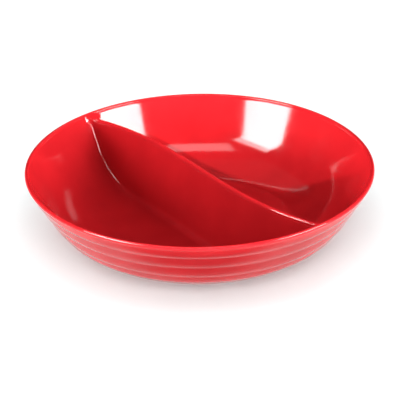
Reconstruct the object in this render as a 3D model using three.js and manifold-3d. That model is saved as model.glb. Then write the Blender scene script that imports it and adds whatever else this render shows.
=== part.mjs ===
// Round two-compartment serving dish: a deep moulded bowl with convex rings round the outside,
// a rounded rim, a foot ring and an S-shaped wall that divides it. Millimetres, +Z up. The dish
// stands on z = 0, centred on the Z axis, and the divider runs along X, so the compartments lie
// towards +Y and -Y.
import * as THREE from 'three';
import { mergeVertices } from 'three/addons/utils/BufferGeometryUtils.js';
import Module from 'manifold-3d';

const wasm = await Module();
wasm.setup();

// Bowl
const RIM_DIAMETER = 381;
const CAVITY_DEPTH = 78;
const WALL_SLOPE_DEG = 30;
const FLOOR_CORNER_RADIUS = 74;
const WALL_THICKNESS = 3.6;
const FLOOR_THICKNESS = 4.5;
const LIP_RADIUS = 2.3;

// Rings round the outside, measured along the wall from the lip
const RING_COUNT = 4;
const RING_PITCH = 18.5;
const FIRST_GROOVE = 16.2;
const RING_BULGE = 0.9;

// Foot ring
const FOOT_HEIGHT = 4;
const FOOT_WIDTH = 8;
const FOOT_EDGE_RADIUS = 1.2;

// Divider, and the gap that it keeps to the bowl
const CREST_DROP = 6;
const CREST_RADIUS = 4.2;
const DIVIDER_DRAFT_DEG = 12.4;
const DIVIDER_SWING = 10.7;
const DIVIDER_FILLET = 5;
const SEAT_GAP = 0.3;

// Hollow under the divider, open through the floor
const DIVIDER_WALL = 4;
const HOLLOW_TIP_RADIUS = 2;
const HOLLOW_END_MARGIN = 8;

// Fineness of the facets
const TURN_SEGMENTS = 60;
const LIP_STEPS = 3;
const RING_STEPS = 4;
const CORNER_STEPS = 9;
const UNDERSIDE_STEPS = 5;
const EDGE_STEPS = 3;
const CREST_STEPS = 5;
const FILLET_STEPS = 3;
const DIVIDER_STEPS = 36;
const WELD_TOLERANCE = 1e-4;

const MELAMINE_RED = 0xd8202c;

const QUARTER_TURN = Math.PI / 2;
const slope = THREE.MathUtils.degToRad(WALL_SLOPE_DEG);
const draft = THREE.MathUtils.degToRad(DIVIDER_DRAFT_DEG);
const undersideZ = FOOT_HEIGHT;
const floorZ = undersideZ + FLOOR_THICKNESS;
const rimZ = floorZ + CAVITY_DEPTH;
const crestZ = rimZ - CREST_DROP;
const crestCentreZ = crestZ - CREST_RADIUS;

// Profile points are (radius, height). The wall leans in as it goes down, so its outward normal
// points down a little.
const wallNormal = new THREE.Vector2(Math.cos(slope), -Math.sin(slope));
const wallDown = new THREE.Vector2(-Math.sin(slope), -Math.cos(slope));
const lipCentre = new THREE.Vector2(RIM_DIAMETER / 2 - LIP_RADIUS, rimZ - LIP_RADIUS);
const innerTop = lipCentre.clone().addScaledVector(wallNormal, -WALL_THICKNESS / 2);
const outerTop = lipCentre.clone().addScaledVector(wallNormal, WALL_THICKNESS / 2);

// The lip is a bead a little thicker than the wall, and runs into the wall at this angle past the
// wall's normal.
const beadAngle = Math.acos(Math.min(1, WALL_THICKNESS / 2 / LIP_RADIUS));
const beadEnd = LIP_RADIUS * Math.sin(beadAngle);

// The inside corner is an arc tangent to the wall and the floor. The flat floor ends below its centre.
const innerCentreZ = floorZ + FLOOR_CORNER_RADIUS;
const flatRadius = innerTop.x
  - (FLOOR_CORNER_RADIUS - (innerCentreZ - innerTop.y) * Math.sin(slope)) / Math.cos(slope);
const innerCentre = new THREE.Vector2(flatRadius, innerCentreZ);

// The outside corner is an arc tangent to the wall and the underside, round the same flat floor.
const outerCornerRadius = ((outerTop.x - flatRadius) * Math.cos(slope)
  + (undersideZ - outerTop.y) * Math.sin(slope)) / (1 - Math.sin(slope));
const outerCentre = new THREE.Vector2(flatRadius, undersideZ + outerCornerRadius);
const outerTangent = outerCentre.clone().addScaledVector(wallNormal, outerCornerRadius);
const straightWall = outerTangent.distanceTo(outerTop);
const lastGroove = FIRST_GROOVE + (RING_COUNT - 1) * RING_PITCH;

function pointOnArc(centre, radius, angle) {
  return new THREE.Vector2(centre.x + radius * Math.cos(angle), centre.y + radius * Math.sin(angle));
}

function arc(centre, radius, fromAngle, toAngle, steps) {
  const points = [];
  for (let i = 0; i <= steps; i += 1) {
    points.push(pointOnArc(centre, radius, THREE.MathUtils.lerp(fromAngle, toAngle, i / steps)));
  }
  return points;
}

// The angle on the outside corner at a distance along the wall from the lip.
function outerAngle(distance) {
  return -slope - Math.max(0, distance - straightWall) / outerCornerRadius;
}

// A point of the outside at a distance along the wall, raised above the plain surface by a height.
function outerPoint(distance, height) {
  if (distance <= straightWall) {
    return outerTop.clone().addScaledVector(wallDown, distance).addScaledVector(wallNormal, height);
  }
  return pointOnArc(outerCentre, outerCornerRadius + height, outerAngle(distance));
}

// Each ring is a shallow bulge between two grooves that lie on the plain wall. The first one starts
// below the lip.
function ringPoints() {
  const points = [];
  let start = beadEnd;
  for (let ring = 0; ring < RING_COUNT; ring += 1) {
    const end = FIRST_GROOVE + ring * RING_PITCH;
    for (let i = 1; i <= RING_STEPS; i += 1) {
      const across = i / RING_STEPS;
      const height = RING_BULGE * 4 * across * (1 - across);
      points.push(outerPoint(THREE.MathUtils.lerp(start, end, across), height));
    }
    start = end;
  }
  return points;
}

// The inside from the middle of the floor to the top of its corner, moved into the bowl by a gap.
function innerProfile(gap) {
  const corner = arc(innerCentre, FLOOR_CORNER_RADIUS - gap, -QUARTER_TURN, -slope, CORNER_STEPS);
  return [new THREE.Vector2(0, floorZ + gap), ...corner];
}

// The whole section of the bowl, from the middle of the underside round the lip to the middle of the floor.
function bowlProfile() {
  const lastAngle = outerAngle(lastGroove);
  const underside = arc(outerCentre, outerCornerRadius, -QUARTER_TURN, lastAngle, UNDERSIDE_STEPS);
  const lip = [
    ...arc(lipCentre, LIP_RADIUS, -slope - beadAngle, 0, LIP_STEPS),
    ...arc(lipCentre, LIP_RADIUS, 0, QUARTER_TURN, LIP_STEPS).slice(1),
    ...arc(lipCentre, LIP_RADIUS, QUARTER_TURN, Math.PI - slope + beadAngle, LIP_STEPS).slice(1),
  ];
  return [
    new THREE.Vector2(0, undersideZ),
    ...underside.slice(0, -1),
    ...ringPoints().reverse(),
    ...lip,
    ...innerProfile(0).reverse(),
  ];
}

// The foot ring reaches up into the floor, and its outer side stands where the flat floor ends.
function footProfile() {
  const outer = flatRadius;
  const inner = outer - FOOT_WIDTH;
  const edge = FOOT_EDGE_RADIUS;
  const top = undersideZ + FLOOR_THICKNESS / 2;
  return [
    new THREE.Vector2(inner, top),
    ...arc(new THREE.Vector2(inner + edge, edge), edge, -Math.PI, -QUARTER_TURN, EDGE_STEPS),
    ...arc(new THREE.Vector2(outer - edge, edge), edge, -QUARTER_TURN, 0, EDGE_STEPS),
    new THREE.Vector2(outer, top),
    new THREE.Vector2(inner, top),
  ];
}

// The space inside the bowl, less the gap, up to the rim.
function cavityProfile() {
  const wallAtRim = innerTop.x + (rimZ - innerTop.y) * Math.tan(slope) - SEAT_GAP / Math.cos(slope);
  return [...innerProfile(SEAT_GAP), new THREE.Vector2(wallAtRim, rimZ), new THREE.Vector2(0, rimZ)];
}

// The divider's line in plan: an S that crosses its chord at the middle and where the crest meets the wall.
class DividerLine extends THREE.Curve {
  constructor(halfLength) {
    super();
    this.halfLength = halfLength;
  }

  getPoint(t, target = new THREE.Vector3()) {
    const crestEnd = innerTop.x - (innerTop.y - crestZ) * Math.tan(slope);
    const x = THREE.MathUtils.lerp(-this.halfLength, this.halfLength, t);
    const u = x / crestEnd;
    const peak = 2 / (3 * Math.sqrt(3));
    return target.set(x, -DIVIDER_SWING * (u - u ** 3) / peak, 0);
  }
}

// Half the divider's width at a height, with its side moved out by a distance.
function halfWidth(height, out) {
  return (CREST_RADIUS + out + (crestCentreZ - height) * Math.sin(draft)) / Math.cos(draft);
}

// Half sections are (width, height), from the top of the crest down.
function dividerSection() {
  const crest = arc(new THREE.Vector2(0, crestCentreZ), CREST_RADIUS, QUARTER_TURN, draft, CREST_STEPS);
  const filletZ = floorZ + DIVIDER_FILLET;
  const filletCentre = new THREE.Vector2(halfWidth(filletZ, DIVIDER_FILLET), filletZ);
  const fillet = arc(filletCentre, DIVIDER_FILLET, Math.PI + draft, 3 * QUARTER_TURN, FILLET_STEPS);
  return [...crest, ...fillet, new THREE.Vector2(filletCentre.x, undersideZ)];
}

function hollowSection() {
  const tipZ = crestCentreZ - (HOLLOW_TIP_RADIUS - CREST_RADIUS + DIVIDER_WALL) / Math.sin(draft);
  const tip = arc(new THREE.Vector2(0, tipZ), HOLLOW_TIP_RADIUS, QUARTER_TURN, draft, CREST_STEPS);
  return [...tip, new THREE.Vector2(halfWidth(0, -DIVIDER_WALL), 0)];
}

// The path's frame points a shape's x down and its y across, so a section is drawn with its height
// along -x.
function sweptAlongDivider(halfSection, halfLength) {
  const otherHalf = halfSection.slice(1).reverse().map((p) => new THREE.Vector2(-p.x, p.y));
  const outline = [...halfSection, ...otherHalf].map((p) => new THREE.Vector2(-p.y, p.x));
  return new THREE.ExtrudeGeometry(new THREE.Shape(outline), {
    steps: DIVIDER_STEPS,
    extrudePath: new DividerLine(halfLength),
  });
}

function turned(profile) {
  return new THREE.LatheGeometry(profile, TURN_SEGMENTS).rotateX(QUARTER_TURN);
}

// A closed solid for joining and cutting: shared vertices are welded and the triangles at the axis
// that collapse go.
function toSolid(geometry) {
  geometry.deleteAttribute('normal');
  geometry.deleteAttribute('uv');
  const welded = mergeVertices(geometry, WELD_TOLERANCE);
  const index = welded.index.array;
  const kept = [];
  for (let i = 0; i < index.length; i += 3) {
    const [a, b, c] = index.slice(i, i + 3);
    if (a !== b && b !== c && c !== a) {
      kept.push(a, b, c);
    }
  }
  return new wasm.Manifold(new wasm.Mesh({
    numProp: 3,
    vertProperties: new Float32Array(welded.attributes.position.array),
    triVerts: new Uint32Array(kept),
  }));
}

function namedMesh(name, solid) {
  const { vertProperties, triVerts } = solid.getMesh();
  const geometry = new THREE.BufferGeometry();
  geometry.setAttribute('position', new THREE.BufferAttribute(vertProperties, 3));
  geometry.setIndex(new THREE.BufferAttribute(triVerts, 1));
  geometry.computeVertexNormals();
  const material = new THREE.MeshStandardMaterial({ color: MELAMINE_RED, roughness: 0.15, metalness: 0 });
  const mesh = new THREE.Mesh(geometry, material);
  mesh.name = name;
  return mesh;
}

const hollow = toSolid(sweptAlongDivider(hollowSection(), flatRadius - FOOT_WIDTH - HOLLOW_END_MARGIN));
const dish = toSolid(turned(bowlProfile())).add(toSolid(turned(footProfile()))).subtract(hollow);
const ridge = toSolid(sweptAlongDivider(dividerSection(), RIM_DIAMETER / 2));
const divider = ridge.intersect(toSolid(turned(cavityProfile()))).subtract(hollow);

const servingDish = new THREE.Group();
servingDish.add(namedMesh('dish', dish), namedMesh('divider', divider));

export default servingDish;
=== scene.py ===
"""Round two-compartment serving dish in glossy red melamine: a ringed bowl and its S-shaped divider."""
import math
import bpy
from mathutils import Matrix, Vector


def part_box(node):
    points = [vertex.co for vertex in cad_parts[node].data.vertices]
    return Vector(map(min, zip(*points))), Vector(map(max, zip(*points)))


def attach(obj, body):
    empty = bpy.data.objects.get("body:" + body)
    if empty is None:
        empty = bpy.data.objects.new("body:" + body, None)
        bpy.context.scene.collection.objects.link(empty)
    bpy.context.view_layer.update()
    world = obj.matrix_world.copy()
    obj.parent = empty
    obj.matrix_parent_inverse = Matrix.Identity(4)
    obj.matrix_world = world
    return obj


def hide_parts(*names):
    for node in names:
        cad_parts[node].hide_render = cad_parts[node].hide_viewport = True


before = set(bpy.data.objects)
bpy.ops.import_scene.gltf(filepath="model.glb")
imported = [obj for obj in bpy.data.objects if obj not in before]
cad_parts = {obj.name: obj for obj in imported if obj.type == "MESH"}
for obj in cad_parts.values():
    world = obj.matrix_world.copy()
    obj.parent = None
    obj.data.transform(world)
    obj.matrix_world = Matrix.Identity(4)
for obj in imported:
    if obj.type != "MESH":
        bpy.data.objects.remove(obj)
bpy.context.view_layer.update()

from types import SimpleNamespace

import bpy
import numpy as np
from bpy.props import FloatProperty, FloatVectorProperty, IntProperty, PointerProperty
from bpy.types import Operator, Panel, PropertyGroup
from mathutils import Matrix, Vector

bl_info = {
    "name": "Divided Serving Dish",
    "version": (1, 0, 0),
    "blender": (4, 5, 0),
    "location": "View3D > Sidebar > Serving Dish",
    "description": "Models a round melamine serving dish with an S-shaped divider on a studio floor",
    "category": "Object",
}

MM = 0.001
# Facets round the bowl, and cells of the divider's skin along the S and across it.
TURN_STEPS = 288
GRID_ALONG = 230
GRID_ACROSS = 120
# Share of the cells across the divider that lie on its round crest.
CREST_SHARE = 0.3
# Vertices closer than this, in metres, are one.
MERGE = 1e-6
# How far each ring's crown lies towards its lower groove: 1 would put it in the middle.
RING_LEAN = 1.6
# Makes the widest swing of the S's curve, u - u**3 for u from -1 to 1, equal to 1.
S_SCALE = 3 * math.sqrt(3) / 2
# Height over which the divider's fillet narrows up the wall, and height over which it flares at the crest.
FILLET_CLIMB = 32 * MM
FLARE_HEIGHT = 9 * MM
# How far the skin's edge slips under the bowl's surface, and how far below that its underside lies.
SKIN_SINK = 0.6 * MM
SKIN_DEPTH = 1.2 * MM

dish_low, dish_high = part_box("dish")
_, divider_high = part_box("divider")


def linear(code, alpha=1.0):
    """Linear RGBA of an sRGB hex colour."""
    channels = [int(code[i : i + 2], 16) / 255 for i in (1, 3, 5)]
    return tuple(c / 12.92 if c <= 0.04045 else ((c + 0.055) / 1.055) ** 2.4 for c in channels) + (alpha,)


def length(name, about, size):
    """A length property given in metres."""
    return FloatProperty(name=name, description=about, default=size, min=0.0, unit="LENGTH", precision=4)


def level(name, about, size, **more):
    """A plain number property that is never negative."""
    return FloatProperty(name=name, description=about, default=size, min=0.0, **more)


def angle(name, about, degrees):
    """An angle property given in degrees."""
    return FloatProperty(name=name, description=about, default=math.radians(degrees), subtype="ANGLE")


def colour(name, about, code):
    """A colour property given as an sRGB hex value."""
    return FloatVectorProperty(
        name=name, description=about, default=linear(code), size=4, min=0.0, max=1.0, subtype="COLOR"
    )


class BowlSizes(PropertyGroup):
    """Sizes of the round bowl, its lip, its outside rings and its foot"""

    rim_diameter: length("Rim diameter", "Across the outside of the lip", dish_high.x - dish_low.x)
    height: length("Height", "From the table to the top of the lip", dish_high.z - dish_low.z)
    wall_slope: angle("Wall slope", "How far the wall leans out from upright", 30)
    corner_radius: length("Corner radius", "Sweep from the floor into the wall, inside", 74 * MM)
    wall: length("Wall", "Thickness of the wall", 3.6 * MM)
    floor: length("Floor", "Thickness of the floor", 4.5 * MM)
    lip_radius: length("Lip radius", "Half the thickness of the rounded lip", 2.3 * MM)
    ring_count: IntProperty(name="Rings", description="Convex rings round the outside", default=4, min=1)
    ring_pitch: length("Ring pitch", "From one groove to the next, along the wall", 18.5 * MM)
    first_groove: length("First groove", "From the top of the wall to the first groove", 16.2 * MM)
    ring_bulge: length("Ring bulge", "How far a ring stands out between its grooves", 0.9 * MM)
    foot_height: length("Foot height", "From the table to the underside", 4 * MM)
    foot_width: length("Foot width", "Across the foot ring's face", 8 * MM)
    foot_edge: length("Foot edge", "Radius on the edges of the foot ring", 1.2 * MM)


class DividerSizes(PropertyGroup):
    """Sizes of the S-shaped divider and of the hollow under it"""

    crest_height: length("Crest height", "From the table to the top of the divider", divider_high.z)
    crest_radius: length("Crest radius", "Roundness of the divider's top edge", 4.2 * MM)
    draft: angle("Draft", "How far the divider's faces lean from upright", 12.4)
    swing: length("Swing", "How far the S leaves the straight line", 10.7 * MM)
    floor_fillet: length("Floor fillet", "Reach of the soft blend into the floor", 8 * MM)
    wall_fillet: length("Wall fillet", "Reach of the soft blend into the top of the wall", 1.6 * MM)
    end_fillet: length("End fillet", "Extra reach of the blend where the crest runs into the wall", 7 * MM)
    wall: length("Wall", "Thickness of the divider's skin over its hollow", 4 * MM)
    tip_radius: length("Tip radius", "Roundness at the top of the hollow", 2 * MM)
    end_margin: length("End margin", "From the hollow's ends to the foot ring", 8 * MM)


class MelamineLook(PropertyGroup):
    """Colours and gloss of the moulded melamine"""

    red: colour("Red", "Main pigment of the moulding", "#BE1C22")
    red_deep: colour("Deep red", "Where the pigment lies a little denser", "#B4191F")
    gloss: level("Roughness", "Roughness of the moulded gloss", 0.09, max=1.0, subtype="FACTOR")


class StageLook(PropertyGroup):
    """Camera, lamps and floor of the studio"""

    azimuth: angle("Azimuth", "Where the camera stands round the dish", 47.5)
    elevation: angle("Elevation", "How far the camera looks down", 27.5)
    distance: length("Distance", "From the camera to the dish", 1.7145)
    aim_height: length("Aim height", "Height above the table that the camera aims at", 40.8 * MM)
    roll: angle("Roll", "Tilt of the picture", -0.84)
    lens: level("Lens", "Focal length in millimetres", 139.5, unit="CAMERA")
    floor: colour("Floor", "Matt paper the dish stands on", "#B4B9B9")
    room: colour("Room", "Dim light from the rest of the studio", "#FFFFFF")
    room_strength: level("Room strength", "Strength of the room's light", 0.7)
    inside_power: level("Inside lamps", "Level of the lamps over the bowl", 1.0)
    outside_power: level("Outside lamps", "Power of each low lamp", 8, unit="POWER")
    gloss_power: level("Gloss lamps", "Level of what the gloss mirrors", 1.75)
    paper_power: level("Paper lamps", "Level of the lamps on the floor", 2.15)


def arc(centre, radius, start, end, steps):
    """Points of an arc in the section plane, both ends included, from angles in degrees."""
    turn = np.radians(np.linspace(start, end, steps + 1))
    return np.column_stack([centre[0] + radius * np.cos(turn), centre[1] + radius * np.sin(turn)])


def bowl_section(bowl):
    """Where the bowl's section bends, as radius and height above the table."""
    lean = bowl.wall_slope
    sin, cos = math.sin(lean), math.cos(lean)
    outward, down = np.array([cos, -sin]), np.array([-sin, -cos])
    lip = np.array([bowl.rim_diameter / 2 - bowl.lip_radius, bowl.height - bowl.lip_radius])
    inner_top, outer_top = lip - outward * bowl.wall / 2, lip + outward * bowl.wall / 2
    underside = bowl.foot_height
    floor = underside + bowl.floor
    corner_height = floor + bowl.corner_radius
    flat = inner_top[0] - (bowl.corner_radius - (corner_height - inner_top[1]) * sin) / cos
    outer_corner = ((outer_top[0] - flat) * cos + (underside - outer_top[1]) * sin) / (1 - sin)
    outer_centre = np.array([flat, underside + outer_corner])
    straight = float(np.dot(outer_centre + outward * outer_corner - outer_top, down))
    return SimpleNamespace(
        lean=lean, sin=sin, cos=cos, down=down, lip=lip, inner_top=inner_top, outer_top=outer_top,
        underside=underside, floor=floor, corner_height=corner_height, corner_radius=bowl.corner_radius,
        flat=flat, outer_corner=outer_corner, outer_centre=outer_centre, straight=straight,
    )


def ringed_outside(bowl, part):
    """The outside from under the lip to the foot, swollen into convex rings that meet in sharp grooves."""
    bead = math.sqrt(bowl.lip_radius**2 - (bowl.wall / 2) ** 2)
    sweep = part.outer_corner * (math.pi / 2 - part.lean - math.asin(bowl.foot_edge / part.outer_corner))
    grooves = [bead] + [bowl.first_groove + i * bowl.ring_pitch for i in range(bowl.ring_count)]
    reach = np.concatenate(
        [np.linspace(a, b, 13)[:-1] for a, b in zip(grooves, grooves[1:])]
        + [np.linspace(grooves[-1], part.straight + sweep, 25)]
    )
    turned = -part.lean - np.maximum(reach - part.straight, 0) / part.outer_corner
    normal = np.column_stack([np.cos(turned), np.sin(turned)])
    on_wall = part.outer_top + np.minimum(reach, part.straight)[:, None] * part.down
    on_corner = part.outer_centre + part.outer_corner * normal
    line = np.where((reach < part.straight)[:, None], on_wall, on_corner)
    crown = RING_LEAN / (RING_LEAN + 1)
    highest = crown**RING_LEAN * (1 - crown)
    swell = np.zeros_like(reach)
    for a, b in zip(grooves, grooves[1:]):
        along = (reach - a) / (b - a)
        rise = np.clip(along, 0, 1) ** RING_LEAN * (1 - along)
        swell = np.maximum(swell, bowl.ring_bulge * rise / highest)
    return line + swell[:, None] * normal


def bowl_profile(bowl):
    """The half section, from the floor's flat over the lip and under the foot to the flat underneath."""
    part = bowl_section(bowl)
    lean = math.degrees(part.lean)
    bead = math.degrees(math.acos(bowl.wall / 2 / bowl.lip_radius))
    edge, foot_in = bowl.foot_edge, part.flat - bowl.foot_width
    corner = (part.flat, part.corner_height)
    straight_rows = np.linspace(40 * MM, 3 * MM, 8)[:, None]
    return np.vstack([
        [(part.flat - 3 * MM, part.floor)],
        arc(corner, part.corner_radius, -90, -lean, 44),
        part.inner_top + part.down * straight_rows,
        arc(part.lip, bowl.lip_radius, 180 - lean + bead, -lean - bead, 24),
        ringed_outside(bowl, part)[1:],
        arc((part.flat + edge, part.underside - edge), edge, 90, 180, 5),
        arc((part.flat - edge, edge), edge, 0, -90, 6),
        arc((foot_in + edge, edge), edge, -90, -180, 6),
        arc((foot_in - edge, part.underside - edge), edge, 0, 90, 5),
        [(foot_in - 3 * edge, part.underside)],
    ])


def s_line(x, divider, reach):
    """How far the divider's middle line lies to the side at a place along it."""
    u = x / reach
    return -divider.swing * S_SCALE * (u - u**3)


def s_slant(x, divider, reach):
    """Cosine of the angle between the divider's middle line and its chord."""
    u = x / reach
    return 1 / np.sqrt(1 + (divider.swing / reach * S_SCALE * (1 - 3 * u**2)) ** 2)


def crest_reach(part, divider):
    """Radius at which the divider's crest runs into the wall."""
    return part.inner_top[0] - (part.inner_top[1] - divider.crest_height) * part.sin / part.cos


def above_bowl(part, radius, z):
    """Distance above the bowl's inside, negative within its wall."""
    across, up = radius - part.flat, z - part.corner_height
    corner = part.corner_radius - np.hypot(across, up)
    wall = (part.inner_top[0] - radius) * part.cos + (z - part.inner_top[1]) * part.sin
    beside = np.where(np.arctan2(up, across) < -part.lean, corner, wall)
    return np.where(across <= 0, z - part.floor, beside)


def beside_divider(divider, side, z):
    """Distance from the divider's drafted faces and round crest, negative within it."""
    up = z - divider.crest_height + divider.crest_radius
    face = side * math.cos(divider.draft) + up * math.sin(divider.draft)
    return np.where(np.arctan2(up, side) > divider.draft, np.hypot(side, up), face) - divider.crest_radius


def skin_height(part, divider, radius, side):
    """Height of the divider's skin, blended into the bowl and slipping under its surface past the blend."""
    low = np.full_like(side, part.floor - 10 * MM)
    high = np.full_like(side, divider.crest_height + 20 * MM)
    # Halving this often finds the height far more finely than a vertex is kept.
    for _ in range(36):
        z = (low + high) / 2
        ridge = beside_divider(divider, side, z)
        climb = np.clip((z - part.floor) / FILLET_CLIMB, 0, 1)
        near_crest = np.clip((z - divider.crest_height) / FLARE_HEIGHT + 1, 0, 1) ** 2
        fillet = divider.floor_fillet + (divider.wall_fillet - divider.floor_fillet) * climb
        fillet = fillet + divider.end_fillet * near_crest
        sink = SKIN_SINK * np.clip((ridge - fillet) / (3 * MM), 0, 1) ** 2
        bowl = above_bowl(part, radius, z) + sink
        meet = np.maximum(fillet - np.abs(ridge - bowl), 0) / fillet
        outside = np.minimum(ridge, bowl) - meet**2 * fillet / 4 > 0
        low, high = np.where(outside, low, z), np.where(outside, z, high)
    return (low + high) / 2


def skin_points(grid, part, divider):
    """Where a flat grid's points lie on the divider's skin, closer together on the crest and at the ends."""
    along, across = grid[:, 0], np.abs(grid[:, 1])
    round_over = np.minimum(across / CREST_SHARE, 1) * (math.pi / 2 - divider.draft)
    # Beyond the crest the cells go down the face, then out over the foot's blend to the skin's edge.
    beyond = np.interp(across, [CREST_SHARE, 0.52, 0.92, 1.0], [0, 11 * MM, 27 * MM, 31 * MM])
    side = np.sign(grid[:, 1]) * (divider.crest_radius * np.sin(round_over) + beyond)
    edge = np.sqrt((part.inner_top[0] - 0.4 * MM) ** 2 - side**2)
    x = edge * (0.55 * along + 0.45 * np.sin(along * math.pi / 2))
    reach = crest_reach(part, divider)
    y = s_line(x, divider, reach) + side
    z = skin_height(part, divider, np.hypot(x, y), np.abs(side) * s_slant(x, divider, reach))
    return np.column_stack([x, y, z])


def start_edit(name):
    """Name the new primitive's object and open it in edit mode with everything selected."""
    piece = bpy.context.object
    piece.name = piece.data.name = name
    bpy.ops.object.mode_set(mode="EDIT")
    bpy.ops.mesh.select_all(action="SELECT")
    return piece


def close_edit():
    """Merge doubles, turn the faces outwards and leave edit mode."""
    bpy.ops.mesh.select_all(action="SELECT")
    bpy.ops.mesh.remove_doubles(threshold=MERGE)
    bpy.ops.mesh.dissolve_degenerate(threshold=MERGE / 10)
    bpy.ops.mesh.normals_make_consistent(inside=False)
    bpy.ops.object.mode_set(mode="OBJECT")


def points_of(piece):
    """The vertex places of a piece as an array."""
    flat = np.zeros(len(piece.data.vertices) * 3)
    piece.data.vertices.foreach_get("co", flat)
    return flat.reshape(-1, 3)


def place_points(piece, points):
    """Move the vertices of a piece."""
    piece.data.vertices.foreach_set("co", np.ascontiguousarray(points, float).ravel())
    piece.data.update()


def hollow_core(bowl, divider, clearance):
    """The mould core that leaves the hollow under the divider: a long tapered block with rounded ends."""
    part = bowl_section(bowl)
    sin, cos = math.sin(divider.draft), math.cos(divider.draft)
    tip = divider.tip_radius + clearance
    crest_centre = divider.crest_height - divider.crest_radius
    tip_height = crest_centre - (divider.tip_radius - divider.crest_radius + divider.wall) / sin
    # The core starts under the table, so that it cuts right through.
    below = 2 * MM
    half = (tip + (tip_height + below) * sin) / cos
    draft = math.degrees(divider.draft)
    top = arc((0, tip_height), tip, draft, 180 - draft, 8)
    section = np.vstack([[(half, -below)], top, [(-half, -below)]])
    reach = crest_reach(part, divider)
    end = part.flat - bowl.foot_width - divider.end_margin + clearance
    stations = np.linspace(-end, end, 49)
    sideways = s_line(stations, divider, reach)

    bpy.ops.object.select_all(action="DESELECT")
    bpy.ops.mesh.primitive_circle_add(vertices=len(section), radius=10 * MM, fill_type="NGON")
    core = bpy.context.object
    place_points(core, [(stations[0], sideways[0] + across, height) for across, height in section])
    start_edit("hollow_core")
    for i in range(1, len(stations)):
        step = (stations[i] - stations[i - 1], sideways[i] - sideways[i - 1], 0)
        bpy.ops.mesh.extrude_region_move(TRANSFORM_OT_translate={"value": step})
    close_edit()
    bevel = core.modifiers.new("rounded_ends", "BEVEL")
    bevel.width, bevel.segments = 3 * MM, 4
    bevel.limit_method, bevel.angle_limit = "ANGLE", math.radians(70)
    bpy.ops.object.modifier_apply(modifier=bevel.name)
    return core


def take_out(piece, core):
    """Cut the core out of the piece and throw the core away."""
    bpy.ops.object.select_all(action="DESELECT")
    piece.select_set(True)
    bpy.context.view_layer.objects.active = piece
    cut = piece.modifiers.new("hollow", "BOOLEAN")
    cut.operation, cut.solver, cut.object = "DIFFERENCE", "EXACT", core
    bpy.ops.object.modifier_apply(modifier=cut.name)
    bpy.data.objects.remove(core)
    bpy.ops.object.mode_set(mode="EDIT")
    close_edit()


def finish_piece(piece, node):
    """Shade the piece, give it the melamine and let it stand for its CAD node."""
    bpy.ops.object.select_all(action="DESELECT")
    piece.select_set(True)
    bpy.context.view_layer.objects.active = piece
    bpy.ops.object.shade_smooth_by_angle(angle=math.radians(38))
    piece.data.materials.clear()
    piece.data.materials.append(moulded_melamine(bpy.context.scene.melamine_look))
    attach(piece, "root")
    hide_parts(node)


def add(tree, kind, links=(), **settings):
    """Add a node, set its properties or sockets by name, and link its inputs."""
    node = tree.nodes.new(kind)
    for name, value in settings.items():
        if hasattr(node, name):
            setattr(node, name, value)
        else:
            node.inputs[name.replace("_", " ")].default_value = value
    for socket, source in dict(links).items():
        tree.links.new(source, node.inputs[socket])
    return node


def moulded_melamine(look):
    """Compression-moulded melamine: an even, saturated red with a hard bright gloss.

    The press leaves a very faint ripple in the reflections, the powder flows into slightly deeper and lighter
    clouds, and wiping leaves hairlines that dull the gloss a little.
    """
    name = "compression_moulded_red_melamine"
    if name in bpy.data.materials:
        return bpy.data.materials[name]
    material = bpy.data.materials.new(name)
    material.use_nodes = True
    tree = material.node_tree
    tree.nodes.clear()
    place = add(tree, "ShaderNodeTexCoord").outputs["Object"]

    cloud = add(tree, "ShaderNodeTexNoise", {"Vector": place}, Scale=1 / (45 * MM), Detail=3.0)
    pigment = add(tree, "ShaderNodeValToRGB", {"Fac": cloud.outputs["Fac"]})
    pigment.color_ramp.elements[0].position = 0.35
    pigment.color_ramp.elements[0].color = look.red_deep
    pigment.color_ramp.elements[1].position = 0.65
    pigment.color_ramp.elements[1].color = look.red

    patches = add(tree, "ShaderNodeTexNoise", {"Vector": place}, Scale=1 / (14 * MM), Detail=4.0)
    # Real hairlines are under 0.1 mm wide: these are drawn coarser, so that they can show.
    stretched = add(
        tree, "ShaderNodeMapping", {"Vector": place},
        Rotation=(0.2, 0.1, 0.9), Scale=(1 / (24 * MM), 1 / (1.5 * MM), 1 / (1.5 * MM)),
    )
    lines = stretched.outputs["Vector"]
    hairline = add(tree, "ShaderNodeTexNoise", {"Vector": lines}, Scale=1.0, Detail=2.0)
    worn = add(
        tree, "ShaderNodeMapRange", {"Value": hairline.outputs["Fac"]},
        From_Min=0.66, From_Max=0.74, To_Min=0.0, To_Max=0.05,
    )
    gloss = add(
        tree, "ShaderNodeMapRange", {"Value": patches.outputs["Fac"]},
        From_Min=0.3, From_Max=0.7, To_Min=look.gloss - 0.02, To_Max=look.gloss + 0.03,
    )
    roughness = add(
        tree, "ShaderNodeMath", {0: gloss.outputs["Result"], 1: worn.outputs["Result"]}, operation="ADD"
    )
    ripple = add(tree, "ShaderNodeTexNoise", {"Vector": place}, Scale=1 / (7 * MM), Detail=1.0)
    height = ripple.outputs["Fac"]
    press = add(tree, "ShaderNodeBump", {"Height": height}, Strength=1.0, Distance=0.012 * MM)

    shader = add(
        tree, "ShaderNodeBsdfPrincipled",
        {
            "Base Color": pigment.outputs["Color"],
            "Roughness": roughness.outputs["Value"],
            "Normal": press.outputs["Normal"],
        },
        IOR=1.42,
    )
    add(tree, "ShaderNodeOutputMaterial", {"Surface": shader.outputs["BSDF"]})
    return material


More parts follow.
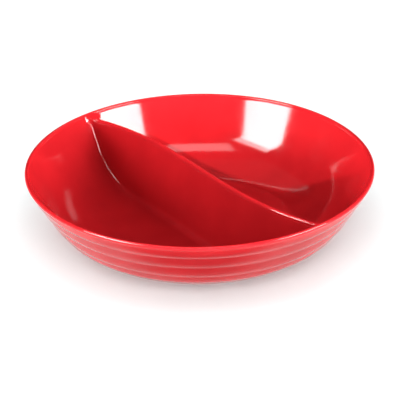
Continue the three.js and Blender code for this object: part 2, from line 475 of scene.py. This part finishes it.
class SERVINGDISH_OT_mould_bowl(Operator):
    """Spin the bowl with its lip, rings and foot, and open the hollow under the divider"""

    bl_idname = "serving_dish.mould_bowl"
    bl_label = "Mould the bowl"

    def execute(self, context):
        bowl, divider = context.scene.bowl_sizes, context.scene.divider_sizes
        profile = bowl_profile(bowl)
        bpy.ops.object.select_all(action="DESELECT")
        bpy.ops.mesh.primitive_plane_add(size=1 * MM)
        dish = start_edit("bowl")
        bpy.ops.mesh.merge(type="CENTER")
        bpy.ops.transform.translate(value=(profile[0][0], 0, profile[0][1]))
        for across, up in np.diff(profile, axis=0):
            bpy.ops.mesh.extrude_region_move(TRANSFORM_OT_translate={"value": (across, 0, up)})
        bpy.ops.mesh.select_all(action="SELECT")
        bpy.ops.mesh.spin(steps=TURN_STEPS, angle=math.tau, center=(0, 0, 0), axis=(0, 0, 1))
        bpy.ops.mesh.select_all(action="SELECT")
        bpy.ops.mesh.remove_doubles(threshold=MERGE)
        bpy.ops.mesh.fill_holes(sides=0)
        close_edit()
        take_out(dish, hollow_core(bowl, divider, clearance=0.15 * MM))
        finish_piece(dish, "dish")
        return {"FINISHED"}


class SERVINGDISH_OT_raise_divider(Operator):
    """Raise the S-shaped divider, blended into the bowl and hollow underneath"""

    bl_idname = "serving_dish.raise_divider"
    bl_label = "Raise the divider"

    def execute(self, context):
        bowl, divider = context.scene.bowl_sizes, context.scene.divider_sizes
        part = bowl_section(bowl)
        bpy.ops.object.select_all(action="DESELECT")
        bpy.ops.mesh.primitive_grid_add(x_subdivisions=GRID_ALONG, y_subdivisions=GRID_ACROSS, size=2)
        ridge = bpy.context.object
        place_points(ridge, skin_points(points_of(ridge), part, divider))
        start_edit("divider_wall")
        bpy.ops.mesh.extrude_region_move(TRANSFORM_OT_translate={"value": (0, 0, -1 * MM)})
        bpy.ops.object.mode_set(mode="OBJECT")
        points = points_of(ridge)
        lower = np.zeros(len(points), bool)
        ridge.data.vertices.foreach_get("select", lower)
        # A metre to the side there is no divider, so the heights found are those of the bowl's own surface.
        far_aside = np.full(len(points), 1.0)
        buried = skin_height(part, divider, np.hypot(points[:, 0], points[:, 1]), far_aside)
        points[lower, 2] = buried[lower] - SKIN_DEPTH
        place_points(ridge, points)
        bpy.ops.object.mode_set(mode="EDIT")
        close_edit()
        take_out(ridge, hollow_core(bowl, divider, clearance=0.0))
        finish_piece(ridge, "divider")
        return {"FINISHED"}


def toward(azimuth, elevation):
    """Unit vector from the dish towards a place round it."""
    return Vector((
        math.sin(azimuth) * math.cos(elevation),
        -math.cos(azimuth) * math.cos(elevation),
        math.sin(elevation),
    ))


def group(name, *members):
    """A collection that tells a lamp which objects it lights or which of them shade it."""
    held = bpy.data.collections.new(name)
    for member in members:
        held.objects.link(member)
    return held


def softbox(name, facing, size, power, lit, shading, gloss=False, roll=0):
    """A rectangular studio lamp facing the dish, seen either by the red itself or only by its gloss.

    It faces from an azimuth and an elevation in degrees, counted from the camera, and a distance in metres,
    and is rolled about its own axis, in degrees too.
    """
    azimuth, elevation, distance = facing
    turned = bpy.context.scene.stage_look.azimuth + math.radians(azimuth)
    direction = toward(turned, math.radians(elevation))
    bpy.ops.object.light_add(type="AREA", location=direction * distance)
    lamp = bpy.context.object
    lamp.name = lamp.data.name = name
    lamp.data.shape, lamp.data.energy = "RECTANGLE", power
    lamp.data.size, lamp.data.size_y = size
    rolled = direction.to_track_quat("Z", "Y").to_matrix() @ Matrix.Rotation(math.radians(roll), 3, "Z")
    lamp.rotation_euler = rolled.to_euler()
    lamp.visible_diffuse, lamp.visible_glossy = not gloss, gloss
    lamp.light_linking.receiver_collection = lit
    lamp.light_linking.blocker_collection = shading


def painted_dark_reflection():
    """A dark sheet that fades towards its edge and that only the gloss sees: a painted dark reflection in the
    outside rings.
    """
    material = bpy.data.materials.new("thin_black_cloth")
    material.use_nodes = True
    tree = material.node_tree
    tree.nodes.clear()
    place = add(tree, "ShaderNodeTexCoord").outputs["Object"]
    # Painted dark reflection: dark grey, thinning to nothing towards the sheet's edge.
    fade = add(tree, "ShaderNodeTexGradient", {"Vector": place}, gradient_type="SPHERICAL")
    cover = add(tree, "ShaderNodeMapRange", {"Value": fade.outputs["Fac"]}, From_Max=0.5, To_Max=0.78)
    gap = add(tree, "ShaderNodeBsdfTransparent")
    dark_sheet = add(tree, "ShaderNodeBsdfDiffuse", Color=linear("#303030"))
    mix = add(
        tree, "ShaderNodeMixShader",
        {0: cover.outputs["Result"], 1: gap.outputs["BSDF"], 2: dark_sheet.outputs["BSDF"]},
    )
    add(tree, "ShaderNodeOutputMaterial", {"Surface": mix.outputs["Shader"]})
    return material


def hidden_card(name):
    """Turn the new primitive into a card that only shades the lamps it is grouped with."""
    card = bpy.context.object
    card.name = card.data.name = name
    card.visible_camera = card.visible_diffuse = card.visible_glossy = False
    return card


def lid_card(name, start, divider):
    """A card over the near compartment, from a place along the divider to its end, cut along the S."""
    bpy.ops.mesh.primitive_grid_add(x_subdivisions=24, y_subdivisions=1, size=2)
    lid = hidden_card(name)
    wide, deep = points_of(lid)[:, :2].T
    rim, reach, clear, height = 190 * MM, 180 * MM, 6 * MM, 84 * MM
    x = start + (rim - start) * (wide + 1) / 2
    y = np.where(deep > 0, s_line(x, divider, reach) - clear, -rim)
    place_points(lid, np.column_stack([x, y, np.full_like(x, height)]))
    return lid


def lay_paper(look):
    """Matt white paper for the dish to stand on: no gloss, only the soft shadow shows."""
    bpy.ops.mesh.primitive_plane_add(size=14, location=(0, 0, -0.2 * MM))
    floor = bpy.context.object
    floor.name = floor.data.name = "paper_floor"
    paper = bpy.data.materials.new("matt_white_paper")
    paper.use_nodes = True
    paper.node_tree.nodes.clear()
    matt = add(paper.node_tree, "ShaderNodeBsdfPrincipled", Base_Color=look.floor, Roughness=0.85)
    add(paper.node_tree, "ShaderNodeOutputMaterial", {"Surface": matt.outputs["BSDF"]})
    floor.data.materials.append(paper)
    return floor


def light_room(look, scene):
    """Dim light from all round, which the gloss doesn't mirror."""
    world = bpy.data.worlds.new("studio_room")
    world.use_nodes = True
    world.node_tree.nodes.clear()
    room = add(world.node_tree, "ShaderNodeBackground", Color=look.room, Strength=look.room_strength)
    add(world.node_tree, "ShaderNodeOutputWorld", {"Surface": room.outputs["Background"]})
    world.cycles_visibility.glossy, world.cycles.sampling_method = False, "NONE"
    scene.world = world


def hang_cards(look, divider):
    """A flag round the bowl, two lids over the near compartment, and a card on the paper in front that paints
    a dark reflection into the outside rings.
    """
    flag_height = 89 * MM
    middle = (0, 0, flag_height / 2)
    bpy.ops.mesh.primitive_cylinder_add(
        vertices=96, radius=213 * MM, depth=flag_height, end_fill_type="NOTHING", location=middle
    )
    flag = hidden_card("black_flag")
    lid = lid_card("near_lid", -190 * MM, divider)
    face_lid = lid_card("face_lid", -128 * MM, divider)

    # The card in front shades nothing and is seen only in the gloss: a painted dark reflection on the outside
    # rings.
    front = toward(look.azimuth - math.radians(4), 0)
    bpy.ops.mesh.primitive_plane_add(size=2, location=front * 218 * MM + Vector((0, 0, 1 * MM)))
    bpy.context.object.rotation_euler.z = look.azimuth
    bpy.context.object.scale = (200 * MM, 70 * MM, 1)
    mirrored_card = hidden_card("dark_card")
    mirrored_card.visible_glossy, mirrored_card.visible_shadow = True, False
    mirrored_card.data.materials.append(painted_dark_reflection())
    return flag, lid, face_lid


def hang_lamps(look, floor, flag, lid, face_lid):
    """The lamps for the inside and the outside, those that only the gloss mirrors, and those on the paper."""
    bowl, divider = bpy.data.objects["bowl"], bpy.data.objects["divider_wall"]
    dish = group("dish", bowl, divider)
    flagged = group("dish_and_flag", bowl, divider, flag)
    lidded = group("dish_and_lid", bowl, divider, lid)
    walled = group("dish_and_cards", bowl, divider, flag, lid)
    creased = group("dish_and_face_lid", bowl, divider, face_lid)
    only_bowl = group("only_bowl", bowl)
    only_divider = group("only_divider", divider)
    paper_sheet = group("paper_sheet", floor)

    # Inside: keys from both sides, and lamps of their own for the divider's face, the far wall and the crest.
    power = look.inside_power
    softbox("right_key", (53, 13, 1.3), (0.5, 0.4), 30 * power, dish, flagged)
    softbox("right_side", (75, 24, 1.3), (0.5, 0.35), 2.5 * power, dish, flagged)
    softbox("left_key", (-60, 12, 1.3), (0.5, 0.35), 13 * power, only_bowl, flagged)
    softbox("face_key", (-60, 12, 1.3), (0.5, 0.35), 2.2 * power, only_divider, flagged)
    softbox("face_side", (-95, 22, 0.5), (0.15, 0.15), 1.5 * power, only_divider, dish)
    softbox("left_side", (-100, 13, 1.3), (0.5, 0.35), 6 * power, only_bowl, flagged)
    softbox("wall_key", (11, 20, 1.5), (0.03, 0.03), 22 * power, only_bowl, walled)
    softbox("wall_side", (-62, 16, 1.3), (0.5, 0.35), 4 * power, only_bowl, flagged)
    softbox("crest_key", (140, 55, 1.3), (0.5, 0.3), 15 * power, only_divider, dish)
    # Outside: two low lamps along the rings.
    power = look.outside_power
    softbox("left_low", (-62, 3, 1.3), (0.9, 0.3), power, only_bowl, dish)
    softbox("right_low", (62, 3, 1.3), (0.9, 0.3), power, only_bowl, dish)
    # Gloss: two windows on the far wall, streaks on the crest and the crease, and what the far floor mirrors.
    # The hollow wall turns the windows round: the lamp on the left gives the highlight on the right.
    power = look.gloss_power
    on_bowl = {"lit": only_bowl, "shading": lidded, "gloss": True}
    softbox("left_window", (-58, 34, 1.3), (0.62, 0.56), 20.5 * power, roll=-8, **on_bowl)
    softbox("left_window_top", (-55, 49.5, 1.3), (0.62, 0.12), 2 * power, roll=-8, **on_bowl)
    softbox("right_window", (66, 32.5, 1.3), (0.68, 0.36), 14.4 * power, dish, dish, gloss=True, roll=-6)
    softbox("crest_strip", (-122, 66, 1.3), (0.3, 0.25), 5 * power, only_divider, lidded, gloss=True)
    softbox("crease_strip", (-46, 42, 1.3), (0.9, 0.16), 6 * power, only_divider, creased, gloss=True)
    softbox("top_strip", (0, 68, 1.2), (0.8, 0.3), 2.1 * power, dish, lidded, gloss=True)
    softbox("back_edge", (180, 47.5, 1.3), (1.5, 0.012), 0.2 * power, **on_bowl)
    softbox("back_panel", (180, 69.5, 1.3), (1.6, 1), 0.45 * power, **on_bowl)
    # Paper: even light from above, and a fill that the dish doesn't shade, so that its shadow stays soft.
    power = look.paper_power
    softbox("paper_left", (-50, 68, 5), (3.5, 3.4), 52 * power, paper_sheet, dish)
    softbox("paper_right", (50, 68, 5), (3.5, 3.4), 52 * power, paper_sheet, dish)
    softbox("paper_front", (0, 36, 5), (5, 2.4), 170 * power, paper_sheet, dish)
    softbox("paper_fill", (0, 60, 5), (5, 5), 96 * power, paper_sheet, paper_sheet)


def stand_camera(look, scene):
    """The camera, aimed at the dish and tilted a little, with its colours shown as they are."""
    view = toward(look.azimuth, look.elevation)
    aim = Vector((0, 0, look.aim_height))
    bpy.ops.object.camera_add(location=aim + view * look.distance)
    camera = bpy.context.object
    camera.name = camera.data.name = "photo_camera"
    camera.data.lens = look.lens
    turned = view.to_track_quat("Z", "Y").to_matrix() @ Matrix.Rotation(look.roll, 3, "Z")
    camera.rotation_euler = turned.to_euler()
    scene.camera = camera
    scene.view_settings.view_transform = "Standard"


class SERVINGDISH_OT_set_stage(Operator):
    """Lay the pale floor, hang the softboxes and set up the camera"""

    bl_idname = "serving_dish.set_stage"
    bl_label = "Set the stage"

    def execute(self, context):
        scene = context.scene
        look = scene.stage_look
        bpy.ops.object.select_all(action="DESELECT")
        floor = lay_paper(look)
        light_room(look, scene)
        flag, lid, face_lid = hang_cards(look, scene.divider_sizes)
        hang_lamps(look, floor, flag, lid, face_lid)
        stand_camera(look, scene)
        return {"FINISHED"}


class SERVINGDISH_PT_maker(Panel):
    """Lists the dish's sizes, its finish and the steps that make it"""

    bl_label = "Serving Dish"
    bl_idname = "SERVINGDISH_PT_maker"
    bl_space_type = "VIEW_3D"
    bl_region_type = "UI"
    bl_category = "Serving Dish"

    def draw(self, context):
        for holder, steps in (
            ("bowl_sizes", ["serving_dish.mould_bowl"]),
            ("divider_sizes", ["serving_dish.raise_divider"]),
            ("melamine_look", []),
            ("stage_look", ["serving_dish.set_stage"]),
        ):
            box = self.layout.box()
            values = getattr(context.scene, holder)
            for name in values.bl_rna.properties.keys()[2:]:
                box.prop(values, name)
            for step in steps:
                box.operator(step)


CLASSES = (
    BowlSizes,
    DividerSizes,
    MelamineLook,
    StageLook,
    SERVINGDISH_OT_mould_bowl,
    SERVINGDISH_OT_raise_divider,
    SERVINGDISH_OT_set_stage,
    SERVINGDISH_PT_maker,
)


def register():
    for cls in CLASSES:
        bpy.utils.register_class(cls)
    bpy.types.Scene.bowl_sizes = PointerProperty(type=BowlSizes)
    bpy.types.Scene.divider_sizes = PointerProperty(type=DividerSizes)
    bpy.types.Scene.melamine_look = PointerProperty(type=MelamineLook)
    bpy.types.Scene.stage_look = PointerProperty(type=StageLook)


def unregister():
    for name in ("stage_look", "melamine_look", "divider_sizes", "bowl_sizes"):
        delattr(bpy.types.Scene, name)
    for cls in reversed(CLASSES):
        bpy.utils.unregister_class(cls)


def main():
    register()
    bpy.ops.serving_dish.mould_bowl()
    bpy.ops.serving_dish.raise_divider()
    bpy.ops.serving_dish.set_stage()


if __name__ == "__main__":
    main()
